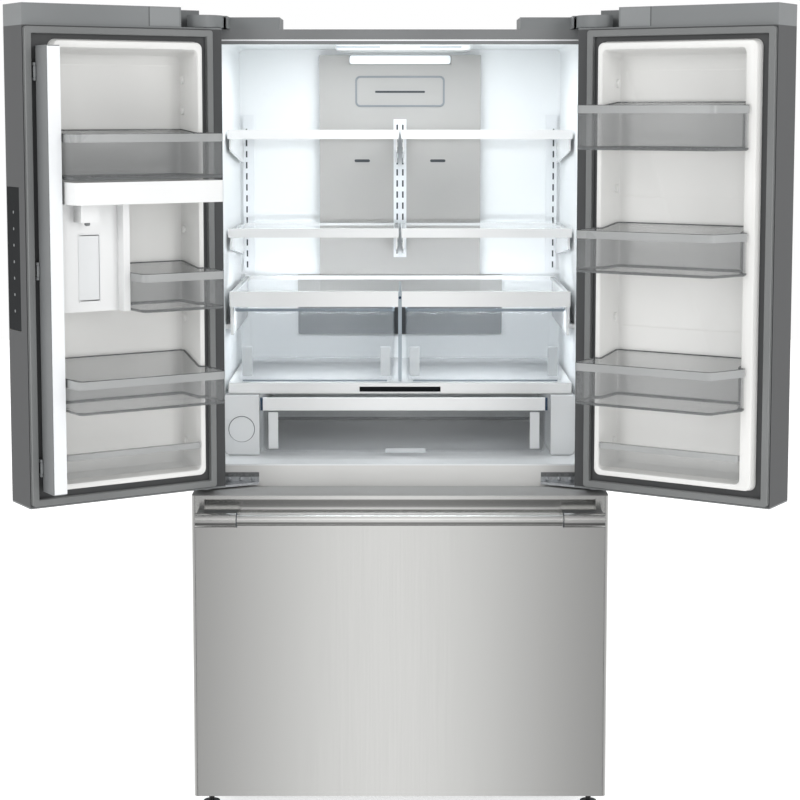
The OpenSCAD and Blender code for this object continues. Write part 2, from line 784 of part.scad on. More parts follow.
// inner panel of the drawer front
module drawer_liner() color("#e4e4e2") {
    along_y(y_rear - 4, y_rear - skin_t) round_rect(-397, 397, 103, 697, 15);
    along_y(y_rear - skin_t, 8) difference() {
        round_rect(-390, 390, 110, 690, 14);
        round_rect(-376, 376, 124, 676, 10);
    }
}

module drawer_gasket() color("#7a7c7c") along_y(y_rear, -0.6) difference() {
    round_rect(-426, 426, 76, 724, 8);
    round_rect(-409.5, 409.5, 92.5, 707.5, 4);
}

module drawer_handle() color("#c9cacb") difference() {
    translate([0, y_front - standoff, handle_z]) {
        rotate([0, 90, 0]) cylinder(h = 2 * (half_w - 15 - end_len), r = tube_r, center = true);
        both_sides() translate([half_w - 15 - end_len, 0, 0]) {
            rotate([0, 90, 0]) cylinder(h = end_len, r = end_r);
            block(0, end_len, 0, standoff + 15, -10, 10);
        }
    }
    drawer_solid(0);
}

// bolted rails and the deep basket that they carry
module drawer_basket() color("#e9ecee") {
    difference() {
        tub(-368, 368, 9, 386, 116, basket_high, 3);
        for (x = [-340 : 40 : 340], z = [150 : 60 : 360]) block(x - 13, x + 13, 0, 400, z, z + 36);
    }
    both_sides() {
        block(in_w - 19, in_w - 12.6, 8, 394, rail_z + 4, rail_z + 30);
        block(368, in_w - 19, 12, 384, rail_z + 8, rail_z + 26);
    }
}

module upper_basket() color("#e9ecee") {
    difference() {
        tub(-366, 366, 24, 496, tray_low, tray_high, 3);
        for (x = [-340 : 40 : 340]) block(x - 13, x + 13, 20, 500, tray_low + 24, tray_high - 50);
    }
    both_sides() {
        block(366, in_w - 12.6, 34, 486, tray_high - 58, tray_high - 44);
    }
}

cabinet_wrapper();
back_panel();
base_pan();
cabinet_foam();
fresh_food_liner();
freezer_liner();
divider_cover();
air_tower();
shelf_standards();
shelf_frames();
glass_panes();
crisper_cover();
crisper_divider();
deli_cover();
control_display();
drawer_housings();
top_hinges();
hinge_covers();
centre_hinges();
front_feet();
compressor();
condenser();
evaporator();
evaporator_cover();
fan_motors();
water_valve();
freezer_slides();
left_door_skin();
left_door_caps();
left_door_foam();
left_door_liner();
left_door_gasket();
left_door_bins();
dispenser_unit();
control_panel();
left_door_handle();
mullion_hinges();
right_door_skin();
right_door_caps();
right_door_foam();
right_door_liner();
right_door_gasket();
right_door_bins();
right_door_handle();
mullion_bar();
dispenser_paddle();
drawer_skin();
drawer_foam();
drawer_liner();
drawer_gasket();
drawer_handle();
drawer_basket();
upper_basket();
crisper_left();
crisper_right();
deli_drawer();
water_filter();
rear_rollers();
condenser_fan();
evaporator_fan();
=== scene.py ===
# %% [markdown]
# # A French door refrigerator, standing open
#
# This lesson dresses an engineering model of a refrigerator. The model gives
# every part its place and its motion. Here each part that shows gets the form
# and finish of the real one: formed plastic liners, clear bins, satin steel and
# lit white shelves. Pieces are drawn in millimetres. The camera and the lamps
# are placed in metres, which is Blender's own unit.

# %% Load the frame and remember its box
import math

import bmesh
import bpy
from mathutils import Matrix, Vector


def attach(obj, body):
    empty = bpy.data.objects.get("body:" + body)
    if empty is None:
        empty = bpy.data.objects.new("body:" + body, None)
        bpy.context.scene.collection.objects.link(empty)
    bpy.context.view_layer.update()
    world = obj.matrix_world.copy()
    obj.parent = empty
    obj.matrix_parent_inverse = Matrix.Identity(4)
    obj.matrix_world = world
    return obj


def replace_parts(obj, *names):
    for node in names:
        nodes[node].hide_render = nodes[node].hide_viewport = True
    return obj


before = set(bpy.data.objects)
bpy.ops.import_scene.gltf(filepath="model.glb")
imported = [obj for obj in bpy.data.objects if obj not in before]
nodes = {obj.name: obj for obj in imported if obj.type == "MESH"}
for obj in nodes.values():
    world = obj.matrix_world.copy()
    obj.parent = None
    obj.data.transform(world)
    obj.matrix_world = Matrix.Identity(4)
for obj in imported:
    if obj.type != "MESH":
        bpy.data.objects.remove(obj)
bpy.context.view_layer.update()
MM = 0.001

# %% [markdown]
# ## Camera
#
# The refrigerator is seen from the front with a long lens at eye height, so
# its sides stay nearly parallel. The camera looks slightly down, and a vertical
# shift keeps the whole of the doors in the frame.

# %% Camera
LOOKING_DOWN = 5.64
camera = bpy.data.objects.new("camera", bpy.data.cameras.new("camera"))
bpy.context.scene.collection.objects.link(camera)
camera.location = (0.0, -4.2725, 1.5585)
camera.rotation_euler = (math.radians(90 - LOOKING_DOWN), 0.0, 0.0)
camera.data.sensor_width = 36.0
camera.data.lens = 87.44
camera.data.shift_y = -0.12
camera.data.clip_end = 60.0
bpy.context.scene.camera = camera
print("lens", camera.data.lens, "mm")

# %% [markdown]
# ## Colour and nodes
#
# Colours are written as the hex values a designer would pick on a screen. A
# screen's values aren't linear, and a renderer works in linear light, so one
# function turns them round. A second one adds a shader node with its settings
# and links, which keeps each finish short enough to read. Every finish starts
# from the same shader, and gets its slow changes of tone from a ramp.

# %% Helpers for colour and nodes
def linear(hex_colour):
    values = [int(hex_colour[i:i + 2], 16) / 255 for i in (1, 3, 5)]
    return [v / 12.92 if v <= 0.04045 else ((v + 0.055) / 1.055) ** 2.4
            for v in values] + [1.0]


def add(tree, kind, inputs=None, **settings):
    node = tree.nodes.new(kind)
    for name, value in settings.items():
        setattr(node, name, value)
    for name, value in (inputs or {}).items():
        if isinstance(value, bpy.types.NodeSocket):
            tree.links.new(value, node.inputs[name])
        else:
            node.inputs[name].default_value = value
    return node


def finish_of(name, **values):
    material = bpy.data.materials.new(name)
    material.use_nodes = True
    tree = material.node_tree
    surface = tree.nodes["Principled BSDF"]
    for socket, value in values.items():
        surface.inputs[socket.replace("_", " ")].default_value = value
    place = add(tree, "ShaderNodeTexCoord")
    return material, tree, surface, place


def ramp(tree, fac, stops):
    """Each stop is a hex colour, or a plain number for a grey of that brightness."""
    node = add(tree, "ShaderNodeValToRGB", {"Fac": fac})
    elements = node.color_ramp.elements
    while len(elements) < len(stops):
        elements.new(0.5)
    for element, (at, tone) in zip(elements, stops):
        element.position = at
        element.color = linear(tone) if isinstance(tone, str) else (tone, tone, tone, 1.0)
    return node


def spread(tree, fac, low, high):
    return add(tree, "ShaderNodeMapRange",
               {"Value": fac, "To Min": low, "To Max": high})


print("a mid grey is", round(linear("#808080")[0], 3), "in linear light")


# %% [markdown]
# ## Satin stainless steel
#
# The fronts are ferritic stainless sheet, brushed along its height to a satin
# gloss. The brushing is far finer than can be drawn, so the grain is 3 mm wide
# here. It varies the roughness in long strokes and leaves broad soft
# reflections. The tubes of the handles are the same steel with a flatter grain.
# The sides of the doors are painted dark grey. The top face of the drawer is
# steel, but it is given a pale grey, which is painted light where that face
# looks up at the bright room. The finish takes the direction of a face to
# choose steel or the side grey.

# %% Satin steel, with painted sides and painted light on the drawer top
GRAINS_PER_METRE = 330.0
PAINT_ROUGHNESS = 0.46
STEEL_FACING = 0.3
GRAIN_UPRIGHT, GRAIN_ACROSS = (1.0, 1.0, 0.012), (0.012, 1.0, 1.0)
# The second grey is painted light: it lightens the top face of the drawer, where light falls
# from above.
DARK_PAINT, PAINTED_TOP_LIGHT = "#494a4b", "#a4a4a3"


def satin_steel(name, front=None, paint=DARK_PAINT, grain_run=GRAIN_UPRIGHT, relief=0.02):
    """Steel all over, or only on the faces that look along front."""
    material, tree, surface, place = finish_of(name, Metallic=1.0)
    grain_place = add(tree, "ShaderNodeMapping", {
        "Vector": place.outputs["Object"], "Scale": grain_run})
    grain = add(tree, "ShaderNodeTexNoise", {
        "Vector": grain_place.outputs["Vector"], "Scale": GRAINS_PER_METRE,
        "Detail": 5.0, "Roughness": 0.65})
    cloud = add(tree, "ShaderNodeTexNoise", {
        "Vector": place.outputs["Object"], "Scale": 3.0, "Detail": 2.0})
    mixed = add(tree, "ShaderNodeMath", {
        0: grain.outputs["Fac"], 1: cloud.outputs["Fac"]}, operation="ADD")
    tone = ramp(tree, spread(tree, mixed.outputs["Value"], -0.5, 1.5)
                .outputs["Result"], [(0.3, "#c9c9c7"), (0.7, "#cececc")])
    rough = spread(tree, grain.outputs["Fac"], 0.17, 0.21)
    bump = add(tree, "ShaderNodeBump", {
        "Height": grain.outputs["Fac"], "Strength": relief, "Distance": 0.0002})
    tree.links.new(bump.outputs["Normal"], surface.inputs["Normal"])
    surface.inputs["Specular IOR Level"].default_value = 0.25
    if front is None:
        tree.links.new(tone.outputs["Color"], surface.inputs["Base Color"])
        tree.links.new(rough.outputs["Result"], surface.inputs["Roughness"])
        return material
    facing = add(tree, "ShaderNodeVectorMath", {
        0: place.outputs["Normal"], 1: front}, operation="DOT_PRODUCT")
    steel = add(tree, "ShaderNodeMath", {
        0: facing.outputs["Value"], 1: STEEL_FACING}, operation="GREATER_THAN")
    colour = add(tree, "ShaderNodeMix", {
        "Factor": steel.outputs["Value"], "A": linear(paint),
        "B": tone.outputs["Color"]}, data_type="RGBA")
    gloss = add(tree, "ShaderNodeMix", {
        "Factor": steel.outputs["Value"], "A": PAINT_ROUGHNESS,
        "B": rough.outputs["Result"]}, data_type="FLOAT")
    tree.links.new(colour.outputs["Result"], surface.inputs["Base Color"])
    tree.links.new(gloss.outputs["Result"], surface.inputs["Roughness"])
    tree.links.new(steel.outputs["Value"], surface.inputs["Metallic"])
    return material


OPEN_DEGREES = 147.5
open_turn = math.radians(OPEN_DEGREES)
steel_tube = satin_steel("brushed_stainless_tube", relief=0.003)
steel_rail = satin_steel("brushed_stainless_rail", grain_run=GRAIN_ACROSS, relief=0.003)
# The drawer's top face takes the pale grey, which is painted light on that steel face.
steel_drawer = satin_steel("brushed_stainless_drawer_front", (0, -1, 0), PAINTED_TOP_LIGHT)
steel_left = satin_steel("brushed_stainless_left_door",
                         (-math.sin(open_turn), -math.cos(open_turn), 0))
steel_right = satin_steel("brushed_stainless_right_door",
                          (math.sin(open_turn), -math.cos(open_turn), 0))
print("satin steel on", steel_left.name, "and", steel_right.name)

# %% [markdown]
# ## Moulded and formed plastics
#
# The liners are high-impact polystyrene sheet, pulled hot over a mould, which
# leaves a faint waviness about 60 mm long. The trims and housings are injection
# moulded ABS with a fine texture, and the baskets are polypropylene. Paint,
# powder coat and enamel dry with the same kind of waviness, only finer. One
# function makes them all, because they differ only in colour, gloss and the
# size of their texture.

# %% Plastics and painted sheet
def moulded(name, light, dark, rough, wave_mm, depth_mm, coat=0.0):
    """A slightly uneven surface, with waves of the given width and depth."""
    material, tree, surface, place = finish_of(
        name, IOR=1.53, Coat_Weight=coat, Coat_Roughness=0.08)
    wave = add(tree, "ShaderNodeTexNoise", {
        "Vector": place.outputs["Object"], "Scale": 1000.0 / wave_mm,
        "Detail": 3.0, "Roughness": 0.55})
    cloud = add(tree, "ShaderNodeTexNoise", {
        "Vector": place.outputs["Object"], "Scale": 4.0, "Detail": 1.0})
    tone = ramp(tree, cloud.outputs["Fac"], [(0.3, dark), (0.7, light)])
    gloss = spread(tree, wave.outputs["Fac"], rough * 0.85, rough * 1.15)
    bump = add(tree, "ShaderNodeBump", {
        "Height": wave.outputs["Fac"], "Strength": 0.25,
        "Distance": depth_mm * MM})
    tree.links.new(tone.outputs["Color"], surface.inputs["Base Color"])
    tree.links.new(gloss.outputs["Result"], surface.inputs["Roughness"])
    tree.links.new(bump.outputs["Normal"], surface.inputs["Normal"])
    return material


cabinet_liner = moulded("formed_polystyrene_cabinet_liner",
                        "#f3f5f6", "#eef1f2", 0.32, 60, 0.6)
door_liner = moulded("formed_polystyrene_door_liner",
                     "#e6e6e4", "#dfdfdd", 0.34, 60, 0.6)
white_trim = moulded("gloss_white_abs", "#ebecec", "#e5e6e6", 0.20, 25, 0.15, 0.2)
light_abs = moulded("light_grey_abs", "#e2e4e5", "#dcdedf", 0.38, 2.5, 0.08)
grey_abs = moulded("grained_grey_abs", "#7b7e7f", "#737677", 0.48, 2.0, 0.12)
post_grey = moulded("bluish_grey_abs", "#a2acb3", "#98a2a9", 0.35, 2.5, 0.05)
crown_grey = moulded("light_grained_grey_abs", "#878a8b", "#808384", 0.48, 2.0, 0.1)
# This dark grey is painted shade on the tops of the drawer handle's mounts, and the real
# dark of the crown seams.
mount_shade_and_seam_grey = moulded("painted_mount_shade_and_seam_grey", "#4a4d4d", "#424545", 0.5, 3, 0.03)
black_abs = moulded("black_abs", "#222425", "#1b1d1e", 0.45, 2.0, 0.10)
basket_white = moulded("basket_polypropylene", "#eceeef", "#e4e6e8", 0.40, 12, 0.2)
nylon = moulded("natural_nylon", "#dadad2", "#cfcfc6", 0.42, 8, 0.1)
foam = moulded("polyurethane_foam", "#e3d6a4", "#cfc08a", 0.85, 4, 0.8)
silver_paint = moulded("satin_silver_painted_panel", "#b4b2af", "#aba9a6",
                       0.42, 1.6, 0.04)
white_powder = moulded("white_powder_coat", "#eceef0", "#e6e9eb", 0.36, 1.8, 0.06)
grey_paint = moulded("textured_grey_paint", "#7d7f80", "#747677", 0.42, 2.2, 0.12)
black_enamel = moulded("black_enamel", "#1d1f21", "#141516", 0.30, 6, 0.1, 0.3)
# This dark grey is painted shade in the vents, behind the slots of the standards, in the
# filter gap and at the wide drawer's rear foot. It is also the real dark of the handle seams
# and the badge stripe.
dark_slot = moulded("painted_shade_and_dark_marks", "#3b4146", "#31363b", 0.50, 3, 0.05)
badge_grey = moulded("satin_grey_badge", "#8b9094", "#82878b", 0.35, 4, 0.03)
# This near black is painted shade, laid on the back wall behind the crispers.
crisper_back_shade = moulded("painted_shade_behind_crispers", "#23272b", "#1f2327", 0.45, 3, 0.05)
deep_blue = moulded("deep_blue_abs", "#1f3a55", "#183049", 0.28, 3, 0.05)
print("finishes so far:", len(bpy.data.materials))

# %% [markdown]
# ## Rubber, plated steel and bare aluminium
#
# The seals are soft PVC, matt and slightly dusty. Hinges and slides are zinc
# plated and the back is galvanised, which shows as a mottling of crystals 5 to
# 14 mm wide. The coil fins are bare rolled aluminium. Fine scratches 2 mm apart
# break up the gloss of all of them.

# %% Rubber and plated metals
SCRATCHES_PER_METRE = 600.0


def soft_rubber(name, light, dark):
    material = moulded(name, light, dark, 0.62, 3.0, 0.10)
    surface = material.node_tree.nodes["Principled BSDF"]
    surface.inputs["Sheen Weight"].default_value = 0.12
    return material


def plated(name, light, dark, rough, crystal_mm):
    """Bare or plated metal, mottled by crystals of the given width."""
    material, tree, surface, place = finish_of(name, Metallic=1.0)
    crystal = add(tree, "ShaderNodeTexVoronoi", {
        "Vector": place.outputs["Object"], "Scale": 1000.0 / crystal_mm})
    scratch_place = add(tree, "ShaderNodeMapping", {
        "Vector": place.outputs["Object"], "Scale": (1.0, 0.06, 1.0)})
    scratch = add(tree, "ShaderNodeTexNoise", {
        "Vector": scratch_place.outputs["Vector"], "Scale": SCRATCHES_PER_METRE,
        "Detail": 4.0})
    tone = ramp(tree, crystal.outputs["Color"], [(0.2, dark), (0.8, light)])
    gloss = spread(tree, scratch.outputs["Fac"], rough * 0.8, rough * 1.25)
    bump = add(tree, "ShaderNodeBump", {
        "Height": scratch.outputs["Fac"], "Strength": 0.1, "Distance": 0.0002})
    tree.links.new(tone.outputs["Color"], surface.inputs["Base Color"])
    tree.links.new(gloss.outputs["Result"], surface.inputs["Roughness"])
    tree.links.new(bump.outputs["Normal"], surface.inputs["Normal"])
    return material


seal = soft_rubber("grey_pvc_seal", "#787a7a", "#6f7171")
foot_rubber = soft_rubber("black_foot_rubber", "#1b1b1c", "#121213")
zinc = plated("zinc_plated_steel", "#c4c7ca", "#b4b7ba", 0.34, 6)
sheet_zinc = plated("galvanised_sheet", "#b9bdbf", "#a6aaac", 0.45, 14)
dull_zinc = plated("dull_zinc_plate", "#8f9192", "#808283", 0.42, 5)
fins = plated("rolled_aluminium", "#d5d7d9", "#c8cacc", 0.38, 9)
print("metals ready:", zinc.name, sheet_zinc.name, fins.name)

# %% [markdown]
# ## Clear plastics and glass
#
# The bins are smoke-tinted styrene acrylonitrile and the crispers a bluish
# clear one. Their walls are thin, so light goes nearly straight through, and
# what the eye sees is a grey veil with bright reflections. A partly transparent
# surface shows that without bending what lies behind it. The frosted bands are
# less transparent. The dark lines along the edges are painted shade, for the
# darkening that refraction gives at a clear edge.

# %% Clear finishes
def clear(name, light, dark, alpha, rough, ior):
    """A thin clear wall, where alpha is the share of it that the eye sees."""
    material, tree, surface, place = finish_of(name, IOR=ior, Alpha=alpha)
    flow = add(tree, "ShaderNodeTexNoise", {
        "Vector": place.outputs["Object"], "Scale": 9.0, "Detail": 2.0})
    tone = ramp(tree, flow.outputs["Fac"], [(0.3, dark), (0.7, light)])
    gloss = spread(tree, flow.outputs["Fac"], rough, rough * 1.8)
    tree.links.new(tone.outputs["Color"], surface.inputs["Base Color"])
    tree.links.new(gloss.outputs["Result"], surface.inputs["Roughness"])
    return material


smoke = clear("smoke_tinted_san", "#9ea0a1", "#969899", 0.16, 0.06, 1.57)
# This darker smoke is painted shade, for the darkening that refraction gives along a clear
# edge.
smoke_edge_shade = clear("painted_smoke_edge_shade", "#6f7172", "#676a6b", 0.70, 0.10, 1.57)
smoke_band = clear("smoke_frosted_band", "#b9bbbb", "#b0b2b2", 0.66, 0.22, 1.57)
ice_clear = clear("bluish_clear_san", "#dde4e8", "#d4dde2", 0.09, 0.05, 1.57)
rim_clear = clear("clear_moulded_rim", "#dfe3e5", "#d6dadd", 0.80, 0.16, 1.57)
# This dark bluish clear is painted shade, for the darkening that refraction gives along a
# clear edge.
rim_edge_shade = clear("painted_bluish_edge_shade", "#8c98a2", "#818d97", 0.72, 0.10, 1.57)
shelf_glass = clear("tempered_shelf_glass", "#dfeaeb", "#d8e5e6", 0.09, 0.03, 1.52)
print("clear finishes ready")

# %% [markdown]
# The touch panel is black printed glass with a dull coating, so it hardly
# reflects. The light covers are opal acrylic, which glows a little by itself.

# %% Touch glass and opal covers
black_glass = moulded("black_touch_glass", "#1b1d1f", "#151719", 0.30, 40, 0.02)
black_glass_surface = black_glass.node_tree.nodes["Principled BSDF"]
black_glass_surface.inputs["Specular IOR Level"].default_value = 0.02

light_lens, lens_tree, lens_surface, lens_place = finish_of(
    "opal_light_cover", Roughness=0.35, Emission_Strength=0.22)
lens_surface.inputs["Emission Color"].default_value = linear("#f6fbff")
lens_cloud = add(lens_tree, "ShaderNodeTexNoise", {
    "Vector": lens_place.outputs["Object"], "Scale": 14.0})
lens_tone = ramp(lens_tree, lens_cloud.outputs["Fac"],
                 [(0.3, "#f2f7fa"), (0.7, "#fbfdff")])
lens_tree.links.new(lens_tone.outputs["Color"],
                    lens_surface.inputs["Base Color"])
print("ready:", black_glass.name, "and", light_lens.name)

# %% [markdown]
# ## Dressing the engineering parts
#
# Parts whose form is already right keep it and take a finish. A small bevel
# rounds each sharp edge, because no real edge is perfectly sharp and the
# highlight along it is what makes a sheet or a moulding believable.

# %% Finishes of the parts, each with the width of its rounded edges
finishes = {
    "cabinet_wrapper": (grey_paint, 1.2), "back_panel": (sheet_zinc, 0.4),
    "base_pan": (sheet_zinc, 0.5), "cabinet_foam": (foam, 0),
    "fresh_food_liner": (cabinet_liner, 0), "freezer_liner": (cabinet_liner, 1.0),
    "divider_cover": (door_liner, 2.5), "air_tower": (silver_paint, 2.0),
    "shelf_standards": (white_powder, 0.5), "shelf_frames": (white_trim, 2.0),
    "glass_panes": (shelf_glass, 0.6), "crisper_cover": (white_trim, 1.5),
    "crisper_divider": (post_grey, 1.0), "deli_cover": (white_trim, 2.0),
    "control_display": (black_glass, 0.3), "drawer_housings": (light_abs, 2.0),
    "top_hinges": (zinc, 0.6), "hinge_covers": (grey_abs, 1.5),
    "centre_hinges": (zinc, 0.6), "front_feet": (foot_rubber, 1.5),
    "compressor": (black_enamel, 1.0), "condenser": (black_enamel, 0),
    "evaporator": (fins, 0), "evaporator_cover": (cabinet_liner, 0.6),
    "fan_motors": (black_abs, 0.8), "water_valve": (light_abs, 1.0),
    "freezer_slides": (zinc, 0.5), "left_door_skin": (steel_left, 0.5),
    "left_door_caps": (grey_abs, 1.5), "left_door_foam": (foam, 0),
    "left_door_liner": (door_liner, 0), "left_door_gasket": (seal, 0),
    "left_door_bins": (smoke, 0), "dispenser_unit": (white_trim, 2.5),
    "control_panel": (black_glass, 0.8), "left_door_handle": (steel_tube, 1.2),
    "mullion_hinges": (grey_abs, 0.4), "right_door_skin": (steel_right, 0.5),
    "right_door_caps": (grey_abs, 1.5), "right_door_foam": (foam, 0),
    "right_door_liner": (door_liner, 0), "right_door_gasket": (seal, 0),
    "right_door_bins": (smoke, 0), "right_door_handle": (steel_tube, 1.2),
    "mullion_bar": (grey_abs, 1.0), "dispenser_paddle": (light_abs, 1.0),
    "drawer_skin": (steel_drawer, 0.5), "drawer_foam": (foam, 0),
    "drawer_liner": (door_liner, 2.0), "drawer_gasket": (seal, 1.5),
    "drawer_handle": (steel_rail, 1.2), "drawer_basket": (basket_white, 0.8),
    "upper_basket": (basket_white, 0.8), "crisper_left": (ice_clear, 0),
    "crisper_right": (ice_clear, 0), "deli_drawer": (smoke, 0),
    "water_filter": (light_abs, 2.0), "rear_rollers": (nylon, 1.5),
    "condenser_fan": (black_abs, 0.4), "evaporator_fan": (light_abs, 0.4),
}
print("finishes for", len(finishes), "parts")

# %% [markdown]
# Faces are shaded smooth up to the angle at which an edge is a real one. A
# bevel then rounds the sharp edges of the parts that have a width.

# %% Rounded edges
SHARP_FROM, BEVEL_FROM = 32, 40


def soften(thing, width_mm):
    for face in thing.data.polygons:
        face.use_smooth = True
    thing.data.set_sharp_from_angle(angle=math.radians(SHARP_FROM))
    if width_mm:
        bevel = thing.modifiers.new("rounded edges", "BEVEL")
        bevel.width = width_mm * MM
        bevel.segments = 2
        bevel.limit_method = "ANGLE"
        bevel.angle_limit = math.radians(BEVEL_FROM)
        bevel.harden_normals = True


for name, thing in nodes.items():
    material, width = finishes[name]
    thing.data.materials.clear()
    thing.data.materials.append(material)
    soften(thing, width)
print("dressed", len(nodes), "parts")

# %% [markdown]
# ## Building in the door's own directions
#
# The doors stand open at an angle, but they are easier to think of closed:
# x from the hinge side, y out of the liner and z up. Pieces are made that way
# and then swung open about the hinge pin, and mirrored for the right door.

# %% Making a piece and putting it on its body
HINGE_X, HINGE_Y, HALF_WIDTH = -428.5, -64.0, 452.5


def swing(side):
    """Takes a point of a closed door, measured from its hinge side, to its place."""
    turn = (Matrix.Translation((HINGE_X, HINGE_Y, 0))
            @ Matrix.Rotation(-open_turn, 4, "Z")
            @ Matrix.Translation((-HALF_WIDTH - HINGE_X, -HINGE_Y, 0)))
    if side == "right_door":
        turn = Matrix.Diagonal((-1, 1, 1, 1)) @ turn
    return turn


def make(name, mesh, material, body, door=None, bevel=0.0, ride=True):
    """Turns a mesh in millimetres into a finished piece that rides its body."""
    if door:
        mesh.transform(swing(door))
        if door == "right_door":
            bmesh.ops.reverse_faces(mesh, faces=mesh.faces)
    mesh.transform(Matrix.Scale(MM, 4))
    data = bpy.data.meshes.new(name)
    mesh.to_mesh(data)
    mesh.free()
    data.materials.append(material)
    thing = bpy.data.objects.new(name, data)
    bpy.context.scene.collection.objects.link(thing)
    soften(thing, bevel)
    if ride:
        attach(thing, body)
    return thing


print("doors are open by", OPEN_DEGREES, "degrees")


# %% [markdown]
# ## Outlines and lofts
#
# Nearly every plastic part here is a stack of rounded outlines: a formed liner,
# a bin or a seal. So the two tools are an outline with round corners, and a
# loft that joins one outline to the next with faces. The same number of points
# on each outline keeps the faces in neat rows.

# %% Outlines
def rounded(corners, radii, steps=6):
    """Rounds each corner of an outline, given its corners in order."""
    points = []
    count = len(corners)
    for i, corner in enumerate(corners):
        here = Vector(corner)
        back = (Vector(corners[i - 1]) - here).normalized()
        ahead = (Vector(corners[(i + 1) % count]) - here).normalized()
        half = math.acos(max(-1, min(1, back.dot(ahead)))) / 2
        radius = radii[i] if isinstance(radii, (list, tuple)) else radii
        reach = radius / math.tan(half)
        start, stop = here + back * reach, here + ahead * reach
        middle = here + (back + ahead).normalized() * radius / math.sin(half)
        a = math.atan2(*(start - middle).yx)
        turn = math.atan2(*(stop - middle).yx) - a
        turn = (turn + math.pi) % (2 * math.pi) - math.pi
        for k in range(steps + 1):
            t = a + turn * k / steps
            points.append((middle.x + radius * math.cos(t),
                           middle.y + radius * math.sin(t)))
    return points


def box_outline(x0, x1, z0, z1, radius, steps=6):
    return rounded([(x0, z0), (x1, z0), (x1, z1), (x0, z1)], radius, steps)


def disc(x, y, r, count=24):
    return [(x + r * math.cos(a * math.tau / count), y + r * math.sin(a * math.tau / count))
            for a in range(count)]


def inset(points, amount):
    """Moves an anticlockwise outline inwards."""
    moved = []
    count = len(points)
    for i, point in enumerate(points):
        before, after = Vector(points[i - 1]), Vector(points[(i + 1) % count])
        along = (after - before).normalized()
        moved.append((point[0] - along.y * amount, point[1] + along.x * amount))
    return moved


print("a rounded box is an outline of", len(box_outline(0, 10, 0, 10, 2)), "points")


# %% [markdown]
# An outline becomes a ring once it stands at one depth or lies at one height.
# Rings joined in order make a skin. With both ends capped it is a solid, and
# with the last ring joined to the first it is a frame or a tube.

# %% Lofts
def loft(rings, closed=False, cap_start=False, cap_end=False):
    mesh = bmesh.new()
    loops = [[mesh.verts.new(p) for p in ring] for ring in rings]
    pairs = list(zip(loops, loops[1:])) + ([(loops[-1], loops[0])] if closed else [])
    for low, high in pairs:
        for i in range(len(low)):
            j = (i + 1) % len(low)
            mesh.faces.new((low[i], low[j], high[j], high[i]))
    if cap_start:
        mesh.faces.new(reversed(loops[0]))
    if cap_end:
        mesh.faces.new(loops[-1])
    bmesh.ops.recalc_face_normals(mesh, faces=mesh.faces)
    return mesh


def solid(rings):
    return loft(rings, cap_start=True, cap_end=True)


def wall(points, y):
    """An outline in x and z, standing at one y."""
    return [(x, y, z) for x, z in points]


def floor_of(points, z):
    """An outline in x and y, lying at one height."""
    return [(x, y, z) for x, y in points]


def slab(points, z0, z1):
    return solid([floor_of(points, z0), floor_of(points, z1)])


def plate(points, y0, y1):
    return solid([wall(points, y0), wall(points, y1)])


def beam(points, x0, x1):
    """An outline in y and z, drawn out along x."""
    return solid([[(x, y, z) for y, z in points] for x in (x0, x1)])


def cuboid(x0, x1, y0, y1, z0, z1):
    return slab([(x0, y0), (x1, y0), (x1, y1), (x0, y1)], z0, z1)


def hoop(outer, inner, y0, y1):
    """A flat frame between two outlines in x and z."""
    return loft([wall(outer, y0), wall(outer, y1), wall(inner, y1), wall(inner, y0)],
                closed=True)


sample = cuboid(0, 10, 0, 10, 0, 10)
print("a plain block has", len(sample.faces), "faces")
sample.free()

# %% [markdown]
# ## Door liners
#
# The inner panel of each door is one formed sheet. A flat flange under the
# seal turns up into a raised rim, and inside the rim the sheet drops into a
# deep drafted recess with a generous fillet at its floor. Each step of the
# profile is one outline, and the loft joins them. The right door has a broad
# flat rim at its free edge, and the left one a narrow rim beside the flip bar.

# %% Formed door liners
RIM_HINGE_SIDE, RIM_LOW, RIM_HIGH = 56.0, 781.0, 1705.0


def formed_liner(side, free, rim):
    """Makes a liner, given the rim's free edge and its width there."""
    def step(y, left, right, low, high, radius):
        return wall(box_outline(RIM_HINGE_SIDE + left, free - right,
                                RIM_LOW + low, RIM_HIGH - high, radius), y)

    rings = [
        step(-13.6, -9, -9, -9, -9, 15), step(-12.0, -1.5, -1.5, -1.5, -1.5, 15),
        step(-9.5, 0, 0, 0, 0, 14), step(6.5, 0.8, 0.8, 0.8, 0.8, 14),
        step(9.3, 2.2, 2.2, 2.2, 2.2, 13), step(10.0, 4.5, 4.5, 4.5, 4.5, 12),
        step(10.0, 9.5, rim - 4.5, 9.5, 12.5, 12), step(9.0, 12, rim - 1.5, 12, 15.5, 11),
        step(6.0, 13.2, rim, 13.2, 17, 11), step(-40, 14.0, rim + 0.8, 15, 20, 12),
        step(-62, 14.6, rim + 1.2, 18, 24, 12), step(-69, 16.5, rim + 3.0, 21, 28, 12),
        step(-72, 21, rim + 8, 27, 34, 12)]
    return make(side + "_formed_liner", loft(rings, cap_end=True), door_liner, side, side)


liners = {"left_door": formed_liner("left_door", 394.0, 11.0),
          "right_door": formed_liner("right_door", 417.0, 27.0)}
for side, liner in liners.items():
    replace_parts(liner, side + "_liner")
    print(liner.name, len(liner.data.polygons), "faces")

# %% [markdown]
# Snap-in bosses on the hinge side of the recess hold the bins. They are
# moulded in the same sheet, and only their round ends show. Faint ribs across
# the floor of the recess stiffen it.

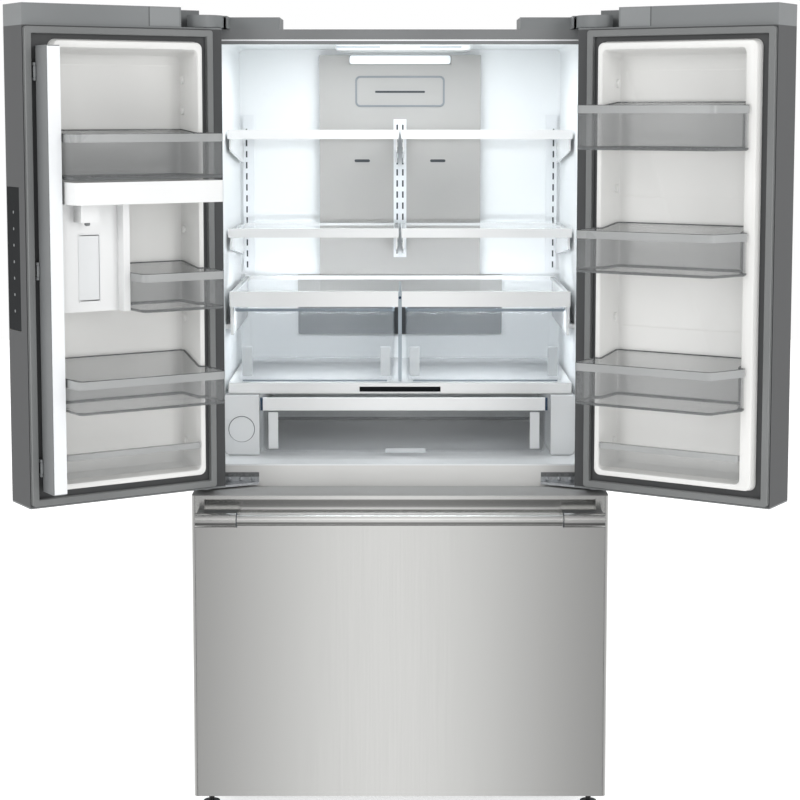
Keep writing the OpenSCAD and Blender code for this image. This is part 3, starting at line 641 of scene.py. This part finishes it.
# %% Bosses and faint ribs in the recess
boss_heights = {"left_door": (848, 1118, 1308, 1561, 1626),
                "right_door": (848, 1119, 1395, 1619)}
rib_heights = {"left_door": (1436, 1655), "right_door": (1098, 1377, 1645)}
rib_ends = {"left_door": 369, "right_door": 376}
for side in ("left_door", "right_door"):
    for n, z in enumerate(boss_heights[side]):
        oval = [(-58 + 7 * math.cos(a * math.tau / 24), z + 9 * math.sin(a * math.tau / 24))
                for a in range(24)]
        rings = [[(x, y, h) for y, h in inset(oval, d)]
                 for x, d in ((69.0, 0.0), (73.5, 0.4), (75.2, 1.6), (75.8, 3.6))]
        make("%s_boss_%d" % (side, n), solid(rings), door_liner, side, side)
    for n, z in enumerate(rib_heights[side]):
        line = plate(box_outline(84, rib_ends[side], z, z + 3.2, 1.5, 3), -72.4, -71.2)
        make("%s_rib_%d" % (side, n), line, door_liner, side, side)
print("bosses and ribs on both doors")

# %% [markdown]
# ## Seals
#
# A door seal is a soft PVC extrusion: a flat foot, a narrow waist that lets it
# stretch, and a magnet tube that meets the cabinet. Its section is swept round
# the door as a closed stack of outlines.

# %% Seals
def bellows(name, x0, x1, z0, z1, width, body, door):
    section = [(0, -11.9), (0, -9.6), (3.4, -8.6), (3.4, -7.0), (0.4, -5.8),
               (0, -2.2), (1.2, -0.8), (width - 1.2, -0.8), (width, -2.2),
               (width - 0.4, -5.8), (width - 3.4, -7.0), (width - 3.4, -8.6),
               (width, -9.6), (width, -11.9)]
    rings = [wall(box_outline(x0 + d, x1 - d, z0 + d, z1 - d, max(2, 6 - d)), y)
             for d, y in section]
    return make(name, loft(rings, closed=True), seal, body, door)


for side in ("left_door", "right_door"):
    ring = bellows(side + "_seal", 26, 448, 751, 1731, 14, side, side)
    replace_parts(ring, side + "_gasket")
ring = bellows("drawer_seal", -426, 426, 76, 724, 16.5, "drawer", None)
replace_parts(ring, "drawer_gasket")
print("three seals")

# %% [markdown]
# ## Door bins
#
# A bin is a drafted tub that hangs in the recess and comes out over the rim.
# Its floor has a large fillet and its rear edge stands a little higher than its
# front. A frosted band runs round the front, which hides the tops of the
# bottles. A dark line of painted shade follows the foot and the lip, for the
# darkening that refraction gives at a clear edge.

# %% The frosted band of a bin
BIN_WALL = 2.5
BAND_HEIGHT = 17
BAND_START = 13.5


def frosted_band(name, side, plan, high):
    """Wraps the part of a plan that stands out of the recess."""
    outer = [(x, y) for x, y in inset(plan, -0.7) if y > BAND_START]
    inner = [(x, y) for x, y in inset(plan, BIN_WALL + 0.5) if y > BAND_START]
    count = min(len(outer), len(inner))
    top, foot = high - 0.6, high - BAND_HEIGHT
    mesh = bmesh.new()
    rows = [[mesh.verts.new((x, y, z)) for x, y in points[:count]]
            for points, z in ((outer, foot), (outer, top), (inner, top), (inner, foot))]
    for a, b in zip(rows, rows[1:] + rows[:1]):
        for i in range(count - 1):
            mesh.faces.new((a[i], a[i + 1], b[i + 1], b[i]))
    for end in (0, count - 1):
        mesh.faces.new([row[end] for row in rows])
    bmesh.ops.recalc_face_normals(mesh, faces=mesh.faces)
    make(name + "_band", mesh, smoke_band, side, side, 0.5)


print("bands are", BAND_HEIGHT, "mm high")


# %% [markdown]
# The tub itself is a loft that climbs the outside, turns over the lip and goes
# down the inside. Each step is an inset from the plan, a height, and whether
# the ring follows the slope of the top edge.

# %% Clear bins
def bin_of(name, side, x0, x1, x2, front, low, high, back_high):
    """x1, x2 and front are the free side in the recess, at the rim and in front."""
    plan = rounded([(x0 + 15, -70), (x1, -70), (x1, 9), (x2, 12), (x2, 22),
                    (front, 108), (x0, 108), (x0, 12), (x0 + 15, 9)],
                   [10, 10, 3, 3, 8, 16, 12, 3, 3], 5)

    def level(amount, height, sloped=False):
        lift = back_high - high if sloped else 0
        return [(x, y, height + lift * min(1, max(0, (11 - y) / 60)))
                for x, y in inset(plan, amount)]

    t = BIN_WALL
    rings = [level(11, low), level(4.5, low + 1.2), level(1.4, low + 4.4),
             level(0.3, low + 10), level(0, high - 1, True), level(0.8, high, True),
             level(t - 0.6, high, True), level(t, high - 1, True),
             level(t + 0.3, low + 11), level(t + 2, low + 5.5), level(t + 9, low + 2.6)]
    tub = make(name, solid(rings), smoke, side, side)
    frosted_band(name, side, plan, high)
    base = [level(3.4, low - 0.3), level(0.2, low + 2.4), level(-0.5, low + 5.6),
            level(1.6, low + 5.6), level(4.2, low + 2.6)]
    # The dark line round the foot is painted shade for refraction at the edge.
    make(name + "_base_edge_shade", loft(base, closed=True), smoke_edge_shade, side, side)
    # The dark lip is painted shade for refraction at the edge.
    lip = [level(d, high + h, True)
           for d, h in ((-0.5, -1.8), (-0.5, 0.5), (2.9, 0.5), (2.9, -1.8))]
    make(name + "_lip", loft(lip, closed=True), smoke_edge_shade, side, side)
    return tub


left_bins = [bin_of("left_upper_bin", "left_door", 57, 380, 392, 389, 1423, 1515, 1522),
             bin_of("left_narrow_bin", "left_door", 57, 240, 247, 246, 1150, 1229, 1240),
             bin_of("left_lower_bin", "left_door", 57, 380, 392, 389, 949, 1018, 1046)]
right_bins = [bin_of("right_upper_bin", "right_door", 57, 387, 401, 366, 1481, 1573, 1580),
              bin_of("right_middle_bin", "right_door", 57, 387, 401, 366, 1226, 1314, 1323),
              bin_of("right_lower_bin", "right_door", 57, 387, 401, 366, 948, 1036, 1047)]
print(len(left_bins) + len(right_bins), "bins")

# %% [markdown]
# The low guard at the foot of each door is a short clear rail that snaps
# across the recess. It belongs to the same engineering part as the bins.

# %% Low guards
def guard(side, x1):
    plan = rounded([(70, 0), (x1, 0), (x1, 12), (70, 12)], [1, 1, 5, 5], 4)
    rings = [floor_of(inset(plan, d), z)
             for d, z in ((1.5, 803), (0, 805), (0, 851), (1.2, 853))]
    lower = make(side + "_low_guard", solid(rings), smoke, side, side)
    make(side + "_low_guard_band", slab(inset(plan, -0.4), 841, 853.4),
         smoke_band, side, side, 0.6)
    return lower


left_guard, right_guard = guard("left_door", 380), guard("right_door", 387)
for piece in left_bins + [left_guard]:
    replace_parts(piece, "left_door_bins")
for piece in right_bins + [right_guard]:
    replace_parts(piece, "right_door_bins")
print("bins stand for their engineering parts")

# %% [markdown]
# ## Flip bar
#
# The bar that closes the gap between the doors is a plastic body with a steel
# face, which the magnets in the seals hold. The face is the broad side that
# looks toward the free edge. A white cover clips on the side that shows when
# the bar is folded back, and a white cap closes each end.

# %% Face, cover and caps of the flip bar
make("flip_bar_face", cuboid(424.0, 424.35, -5.5, 51.5, 786, 1687), grey_paint,
     "mullion", "left_door", 0.3)
cap_plan = rounded([(396.6, -7.4), (423.4, -7.4), (423.4, 53.4), (396.6, 53.4)], 3)
for n, z in enumerate((783.5, 1689.5)):
    make("flip_bar_cap_%d" % n, slab(cap_plan, z - 2.5, z + 2.5), white_trim,
         "mullion", "left_door", 0.8)
make("flip_bar_cover", cuboid(396.3, 423.7, 54.05, 54.6, 783, 1690), white_powder,
     "mullion", "left_door", 0.2)
print("flip bar face, cover and caps")

# %% [markdown]
# ## Air tower
#
# The silver panel on the back wall spreads the cold air. It carries a plain
# badge frame with no lettering and two louvred vents, whose openings are dark
# plates of painted shade. Above it, under the ceiling, is an opal light cover.
# Low down, behind the crispers, a near black plate on the back wall is painted
# shade.

# %% Badge, vents and light cover on the tower
TOWER_FACE = 575.0
badge = hoop(box_outline(-111, 111, 1571, 1648, 12), box_outline(-106, 106, 1576, 1643, 8),
             TOWER_FACE - 0.1, TOWER_FACE - 1.8)
make("badge_frame", badge, badge_grey, "cabinet", bevel=0.4)
make("badge_stripe", plate(box_outline(-62, 62, 1606, 1611, 2.4, 3),
                           TOWER_FACE - 0.8, TOWER_FACE - 0.05), dark_slot, "cabinet")
for n, x in enumerate((-94, 94)):
    # Each vent opening is a dark plate of painted shade, inside a silver lip.
    vent = plate(box_outline(x - 19, x + 19, 1434.5, 1441.5, 3, 4),
                 TOWER_FACE - 1.0, TOWER_FACE - 0.1)
    make("tower_vent_%d" % n, vent, dark_slot, "cabinet")
    lip = hoop(box_outline(x - 21, x + 21, 1432.5, 1443.5, 5),
               box_outline(x - 19, x + 19, 1434.5, 1441.5, 3),
               TOWER_FACE - 0.05, TOWER_FACE - 1.4)
    make("tower_vent_lip_%d" % n, lip, silver_paint, "cabinet")
# The dark plate low on the back wall is painted shade behind the crispers.
make("back_wall_shade", plate(box_outline(-255, 255, 1003, 1098, 6), 584.2, 584.9),
     crisper_back_shade, "cabinet")
make("tower_light", plate(box_outline(-125, 125, 1677, 1698, 6), 578, 583.8),
     light_lens, "cabinet")
print("tower dressed")

# %% [markdown]
# ## Ceiling light
#
# A long white cover in the ceiling hides a strip of white diodes. Their light
# leaves through two slots, and soft lamps just below it do the lighting. The
# slots are drawn as grey strips of painted shade.

# %% Ceiling light cover
cover = rounded([(-150, 250), (165, 250), (165, 350), (-150, 350)], 20)
rings = [floor_of(inset(cover, d), z)
         for d, z in ((0, 1712.8), (0, 1706), (3, 1702), (12, 1700))]
make("ceiling_light_cover", solid(rings), white_trim, "cabinet")
# The grey strips in the slots are painted shade.
for n, (a, b) in enumerate(((-148, -46), (46, 142))):
    make("ceiling_light_slot_shade_%d" % n, cuboid(a, b, 249.0, 249.9, 1706.5, 1709.5),
         post_grey, "cabinet", bevel=0.3)
print("ceiling light")

# %% [markdown]
# ## Shadowed slots in the standards
#
# The uprights are folded steel strips with punched slots. Behind each strip is
# a hollow channel in shade, drawn as a dark plate of painted shade, so the slots
# read as dark dashes. The grey edge of the steel cabinet shows above the
# ceiling of the liner, as a thin strip.

# %% Painted shade behind the slots, and the strip above the liner
# The dark plates behind the slots are painted shade.
make("centre_channel_shade", cuboid(-12.5, 12.5, 574.75, 574.95, 1204, 1536), dark_slot, "cabinet")
for n, x in enumerate((-383, 383)):
    make("side_channel_shade_%d" % n, cuboid(x - 4, x + 4, 595.6, 595.95, 1166, 1546),
         dark_slot, "cabinet")
make("front_strip", cuboid(-399, 399, 0.2, 1.3, 1705.6, 1713.4), grey_paint, "cabinet")
print("three channels and the front strip")

# %% [markdown]
# ## Crispers
#
# Each crisper is a clear injection moulded tub with drafted walls. Its front
# is lower than its sides, so the hand can reach in, and a moulded lip runs
# round the top. The lip and a line along the front foot are dark bluish: painted
# shade, for the darkening that refraction gives at a clear edge. The two pale
# posts behind the front are its grips.

# %% Clear crispers
CRISPER_WALL = 3.0
CRISPER_LOW, CRISPER_HIGH = 942.5, 1112
HAND_DIP = 35


def crisper(body, sign):
    """Makes a crisper, left of the post with sign -1 and right of it with 1."""
    plan = rounded([(13, 137), (376, 137), (376, 545), (13, 545)], [8, 8, 16, 16], 6)

    def level(amount, z, dipped=False):
        ring = []
        for x, y in inset(plan, amount):
            near_front = min(1, max(0, (152 - y) / 8))
            off_corner = min(1, max(0, min(x - 24, 365 - x) / 14))
            dip = HAND_DIP * near_front * off_corner if dipped else 0
            ring.append((sign * x, y, z - dip))
        return ring if sign > 0 else ring[::-1]

    t, top = CRISPER_WALL, CRISPER_HIGH
    rings = [level(12, CRISPER_LOW), level(3, CRISPER_LOW + 2.5),
             level(0.5, CRISPER_LOW + 8.5), level(0, top - 1.5, True),
             level(0.6, top, True), level(t - 0.6, top, True), level(t, top - 1.5, True),
             level(t + 0.5, CRISPER_LOW + 10.5), level(t + 11, CRISPER_LOW + 3.5)]
    tub = make(body + "_tub", solid(rings), ice_clear, body)
    # The dark rim and the front foot line are painted shade at the clear edges.
    rim = [level(d, top + h, True)
           for d, h in ((-0.4, 0.6), (-0.4, -6), (t + 0.6, -6), (t + 0.6, 0.6))]
    make(body + "_rim", loft(rim, closed=True), rim_edge_shade, body)
    for n, x in enumerate((22, 338)):
        a, b = sorted((sign * x, sign * (x + 23)))
        make("%s_post_%d" % (body, n), cuboid(a, b, 141.5, 147, 957, 1024),
             rim_clear, body, bevel=1.5)
    a, b = sorted((sign * 30, sign * 360))
    make(body + "_front_edge_shade", cuboid(a, b, 136.4, 137.2, 945, 949),
         rim_edge_shade, body, bevel=0.3)
    return tub


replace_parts(crisper("crisper_l", -1), "crisper_left")
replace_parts(crisper("crisper_r", 1), "crisper_right")
make("divider_dot", plate(disc(0, 1138, 3.2, 20), 131.2, 132.4), deep_blue, "cabinet",
     bevel=0.3)
print("two crispers")

# %% [markdown]
# ## Wide drawer
#
# The wide drawer has a smoke-tinted tub under a white front rail. Dark blue
# end stops close the rail on both sides, and a lip below the middle of the
# front is where the fingers pull. A dark line along the rear foot of the tub
# is painted shade.

# %% Wide drawer with its front rail
plan = rounded([(-314, 112), (332, 112), (332, 560), (-314, 560)], [8, 8, 16, 16], 6)
rings = [floor_of(inset(plan, d), z)
         for d, z in ((12, 785), (3, 788), (0.5, 794), (0, 882), (0.6, 884), (2.4, 884),
                      (3, 882), (3.5, 796), (14, 789))]
tub = make("wide_drawer_tub", solid(rings), smoke, "deli")
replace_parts(tub, "deli_drawer")
rail = rounded([(106, 882), (112, 882), (112, 912), (106, 912)], [2, 1, 1, 3], 4)
make("wide_drawer_rail", beam(rail, -312, 330), white_trim, "deli")
for n, (a, b) in enumerate(((-318, -312.2), (330.2, 336))):
    make("wide_drawer_stop_%d" % n, beam(rail, a, b), deep_blue, "deli", bevel=0.6)
for n, x in enumerate((-300, 296)):
    make("wide_drawer_post_%d" % n, cuboid(x, x + 22, 109.5, 111.8, 794, 878),
         light_abs, "deli", bevel=0.8)
pull = rounded([(-38, 102), (62, 102), (54, 112), (-30, 112)], [3, 3, 1, 1], 4)
make("wide_drawer_pull", slab(pull, 785.5, 796), rim_clear, "deli", bevel=1.5)
# The dark line along the rear foot of the tub is painted shade.
make("wide_drawer_rear_shade", cuboid(-311, 329, 553, 556.8, 789, 797), dark_slot, "deli",
     bevel=1.0)
print("wide drawer")

# %% [markdown]
# ## Water dispenser and filter
#
# The dispenser is a white housing under a shelf on the left door. The push
# plate sits in a shallow opening, and a thin groove round it draws its outline.
# The filter is a cartridge that pushes into the housing beside the wide drawer,
# so all that shows is the round gap about its cap, drawn as a dark ring of
# painted shade.

# %% Push plate outline, spout and filter ring
groove = hoop(box_outline(300.6, 349.4, 1169.6, 1310.4, 4),
              box_outline(303, 347, 1172, 1308, 3), 20.2, 20.9)
make("paddle_outline", groove, light_abs, "left_door", "left_door")
spout = disc(338, 42, 5.8)
rings = [floor_of(inset(spout, d), z)
         for d, z in ((0, 1350), (0, 1330), (2, 1328), (2.2, 1345))]
make("water_spout", solid(rings), grey_abs, "left_door", "left_door")
circle = disc(-361, 839, 30, 48)
# The dark ring is painted shade in the gap round the filter's cap.
make("filter_gap_shade", hoop(circle, inset(circle, 1.3), 109.8, 116), dark_slot, "cabinet")
print("dispenser and filter")

# %% [markdown]
# ## Hinge screws
#
# Small parts tell the size of a thing. Three countersunk screws hold each
# centre hinge, and a dull plate under them faces the cabinet's edge. A screw
# head is a stack of discs that ends in its drive recess.

# %% Plates and screws of the centre hinges
SCREW_PROFILE = ((4.7, -3.1), (4.0, -4.6), (2.6, -5.8), (1.5, -5.9), (1.3, -4.4))
for tag, side in (("l", -1), ("r", 1)):
    a, b = sorted((side * 314, side * 394))
    make("hinge_plate_%s" % tag, cuboid(a, b, -0.4, -0.1, 736, 760), dull_zinc, "cabinet")
    for n, x in enumerate((328, 354, 380)):
        head = solid([wall(disc(side * x, 745, r), y) for r, y in SCREW_PROFILE])
        make("hinge_screw_%s_%d" % (tag, n), head, zinc, "cabinet")
print("six screws")

# %% [markdown]
# ## Handle seams, crown and painted shade on the mounts
#
# A dark seam shows where each handle end slides on to its tube. The crown of
# each door has a paler block beside the hinge, with a seam. The tops of the
# drawer handle's mounts are dark with painted shade.

# %% Seams, crown blocks and painted shade on the mounts
HANDLE_OUT, DRAWER_HANDLE_UP, DOOR_HANDLE_ALONG = -182, 690, 406
SLEEVE_RADIUS = 15.7
SEAM_HALF = 0.9
for n, x in enumerate((-349.5, 349.5)):
    seam = beam(disc(HANDLE_OUT, DRAWER_HANDLE_UP, SLEEVE_RADIUS, 36),
                x - SEAM_HALF, x + SEAM_HALF)
    make("drawer_handle_seam_%d" % n, seam, dark_slot, "drawer")
for side in ("left_door", "right_door"):
    make(side + "_crown_block", cuboid(99, 167, -12.0, -11.5, 1738, 1777), crown_grey,
         side, side, 0.2)
    make(side + "_crown_seam", cuboid(168, 169.6, -12.0, -11.8, 1737, 1777.5), mount_shade_and_seam_grey,
         side, side)
# Thin dark sheets on the tops of the drawer handle's mounts are painted shade.
for n, (a, b) in enumerate(((-437, -350), (350, 437))):
    make("drawer_mount_top_shade_%d" % n, cuboid(a, b, -167, -122.4, 700.05, 700.5),
         mount_shade_and_seam_grey, "drawer")
for side in ("left_door", "right_door"):
    for n, z in enumerate((921, 1562)):
        seam = slab(disc(DOOR_HANDLE_ALONG, HANDLE_OUT, SLEEVE_RADIUS, 36),
                    z - SEAM_HALF, z + SEAM_HALF)
        make("%s_handle_seam_%d" % (side, n), seam, dark_slot, side, side)
print("seams and covers")

# %% [markdown]
# ## Touch marks
#
# The keys of the touch panel are soft light marks under its glass. Plain round
# dots stand for them.

# %% Touch marks
MARK_COUNT, MARK_PITCH = 7, 34
PANEL_FACE = 449.75
for n in range(MARK_COUNT):
    mark = beam(disc(-76, 1150 + n * MARK_PITCH, 3.2, 16), PANEL_FACE, PANEL_FACE + 0.12)
    make("touch_mark_%d" % n, mark, grey_abs, "left_door", "left_door")
print(MARK_COUNT, "touch marks")

# %% [markdown]
# ## Floor
#
# The floor is a plain pale sweep. It glows a little, so that it stays white
# around the refrigerator's soft shadow. It is left out of reflections, because
# the steel is to mirror the room.

# %% Floor
floor_mesh = bmesh.new()
bmesh.ops.create_grid(floor_mesh, x_segments=8, y_segments=8, size=9000)
floor_mat, floor_tree, floor_surface, floor_place = finish_of(
    "pale_studio_floor", Roughness=0.6, Emission_Strength=0.55)
floor_surface.inputs["Emission Color"].default_value = linear("#ffffff")
floor_noise = add(floor_tree, "ShaderNodeTexNoise", {
    "Vector": floor_place.outputs["Object"], "Scale": 2.0})
floor_tone = ramp(floor_tree, floor_noise.outputs["Fac"],
                  [(0.3, "#f4f4f4"), (0.7, "#f8f8f8")])
floor_tree.links.new(floor_tone.outputs["Color"], floor_surface.inputs["Base Color"])
floor = make("floor", floor_mesh, floor_mat, "cabinet", ride=False)
floor.visible_glossy = False
print("floor", round(floor.dimensions.x), "m wide")

# %% [markdown]
# ## Room
#
# Steel shows the room that it stands in. This room is white behind the
# refrigerator. In front it has one bright upright band between dim sides, which
# gives the steel its slow change from dark to light. A second ramp dims the
# room towards the floor and brightens it above eye height.

# %% Room
world = bpy.data.worlds.new("studio")
bpy.context.scene.world = world
world.use_nodes = True
sky = world.node_tree
way = add(sky, "ShaderNodeTexCoord")
parts = add(sky, "ShaderNodeSeparateXYZ", {"Vector": way.outputs["Generated"]})
across = add(sky, "ShaderNodeMapRange", {
    "Value": parts.outputs["X"], "From Min": -0.6, "From Max": 0.6})
upward = add(sky, "ShaderNodeMapRange", {
    "Value": parts.outputs["Z"], "From Min": -1.0, "From Max": 1.0})
band = ramp(sky, across.outputs["Result"], [
    (0.0, 0.65), (0.26, 0.22), (0.40, 0.12), (0.495, 1.80),
    (0.59, 0.15), (0.74, 0.22), (1.0, 0.65)])
height = ramp(sky, upward.outputs["Result"], [
    (0.0, 0.25), (0.20, 0.35), (0.28, 1.0), (0.56, 1.0), (0.66, 1.35),
    (0.80, 1.3), (0.90, 0.9), (1.0, 0.9)])
front_half = add(sky, "ShaderNodeMix", {
    "Factor": 1.0, "A": band.outputs["Color"], "B": height.outputs["Color"]},
    data_type="RGBA", blend_type="MULTIPLY")
behind = add(sky, "ShaderNodeMath", {0: parts.outputs["Y"], 1: 0.0},
             operation="GREATER_THAN")
room = add(sky, "ShaderNodeMix", {
    "Factor": behind.outputs["Value"], "A": front_half.outputs["Result"],
    "B": linear("#ffffff")}, data_type="RGBA")
sky.links.new(room.outputs["Result"], sky.nodes["Background"].inputs["Color"])
sky.nodes["Background"].inputs["Strength"].default_value = 1.0
bpy.context.scene.view_settings.view_transform = "Standard"
print("room of", len(sky.nodes), "nodes")

# %% [markdown]
# ## Lamps
#
# Two broad lamps light the doors from the front. Four small cool ones stand in
# for the diodes: below the ceiling, before the shelves, in the wide drawer and
# in the crispers. A lamp is aimed by naming the point that it looks at.

# %% Lamps
def lamp(name, at, towards, width, height, watts, colour="#ffffff"):
    data = bpy.data.lights.new(name, "AREA")
    data.shape = "RECTANGLE"
    data.size, data.size_y, data.energy = width, height, watts
    data.color = linear(colour)[:3]
    thing = bpy.data.objects.new(name, data)
    bpy.context.scene.collection.objects.link(thing)
    thing.location = at
    thing.rotation_euler = (Vector(towards) - Vector(at)).to_track_quat("-Z", "Y").to_euler()
    return thing


DIODE_WHITE = "#f7fbff"
lamps = [
    lamp("front_right", (2.6, -3.4, 2.2), (0.2, 0.0, 0.8), 1.8, 2.4, 47),
    lamp("front_left", (-2.8, -3.0, 2.4), (0.0, 0.0, 1.2), 1.4, 2.2, 39),
    lamp("ceiling_strip", (0.0, 0.30, 1.695), (0.0, 0.30, 0.9), 0.5, 0.12, 1.5, DIODE_WHITE),
    lamp("shelf_front", (0.0, 0.10, 1.69), (0.0, 0.45, 1.2), 0.6, 0.04, 0.8, DIODE_WHITE),
    lamp("drawer_glow", (0.0, 0.14, 0.902), (0.0, 0.36, 0.80), 0.6, 0.02, 0.3, DIODE_WHITE),
    lamp("crisper_glow", (0.0, 0.17, 1.13), (0.0, 0.42, 0.95), 0.7, 0.03, 2.2, DIODE_WHITE),
]
print("lit by", len(lamps), "lamps")
